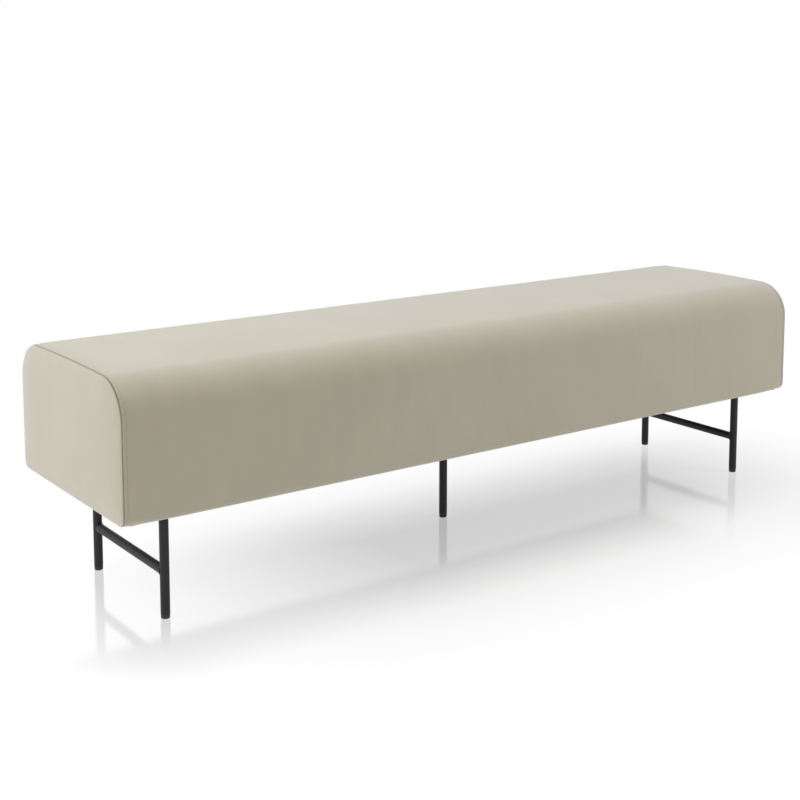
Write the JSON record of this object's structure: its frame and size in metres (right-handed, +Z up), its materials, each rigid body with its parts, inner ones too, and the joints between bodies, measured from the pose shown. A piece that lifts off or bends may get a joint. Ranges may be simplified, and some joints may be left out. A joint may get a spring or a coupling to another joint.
{
  "type": "upholstered bench",
  "caption": "Long backless upholstered bench: a padded block with rounded long edges and crowned end panels, on black tube leg frames and a middle leg.",
  "frame": {"origin": "on the floor, below the middle of the bench", "axes": "+X along the bench, -Y towards its front, +Z up"},
  "size_m": [1.696, 0.448, 0.458],
  "materials": {
    "cover_cloth": "short velvet nap, greige, soft sheen",
    "dust_cloth": "black non-woven dust cloth",
    "foam": "cream polyurethane foam",
    "plywood": "sawn plywood",
    "hardwood": "planed hardwood",
    "black_steel": "satin black powder coat",
    "black_nylon": "matt moulded nylon",
    "zinc_plate": "bright zinc plate"
  },
  "bodies": {
    "root": {"body_cover": "cover_cloth", "end_cover_left": "cover_cloth", "end_cover_right": "cover_cloth", "dust_cover": "dust_cloth", "seat_foam": "foam", "front_foam": "foam", "rear_foam": "foam", "end_foam_left": "foam", "end_foam_right": "foam", "seat_deck": "plywood", "front_board": "plywood", "rear_board": "plywood", "end_board_left": "plywood", "end_board_right": "plywood", "cross_rib_left": "plywood", "cross_rib_centre": "plywood", "cross_rib_right": "plywood", "leg_rail_left": "hardwood", "leg_rail_centre": "hardwood", "leg_rail_right": "hardwood", "corner_block_front_left": "hardwood", "corner_block_rear_left": "hardwood", "corner_block_front_right": "hardwood", "corner_block_rear_right": "hardwood", "leg_front_left": "black_steel", "leg_rear_left": "black_steel", "leg_front_right": "black_steel", "leg_rear_right": "black_steel", "leg_centre": "black_steel", "stretcher_left": "black_steel", "stretcher_right": "black_steel", "frame_plate_left": "black_steel", "frame_plate_centre": "black_steel", "frame_plate_right": "black_steel", "glide_front_left": "black_nylon", "glide_rear_left": "black_nylon", "glide_front_right": "black_nylon", "glide_rear_right": "black_nylon", "glide_centre": "black_nylon", "plate_screw_left_1": "zinc_plate", "plate_screw_left_2": "zinc_plate", "plate_screw_left_3": "zinc_plate", "plate_screw_left_4": "zinc_plate", "plate_screw_left_5": "zinc_plate", "plate_screw_left_6": "zinc_plate", "plate_screw_centre_1": "zinc_plate", "plate_screw_centre_2": "zinc_plate", "plate_screw_centre_3": "zinc_plate", "plate_screw_centre_4": "zinc_plate", "plate_screw_right_1": "zinc_plate", "plate_screw_right_2": "zinc_plate", "plate_screw_right_3": "zinc_plate", "plate_screw_right_4": "zinc_plate", "plate_screw_right_5": "zinc_plate", "plate_screw_right_6": "zinc_plate"}
  },
  "joints": []
}
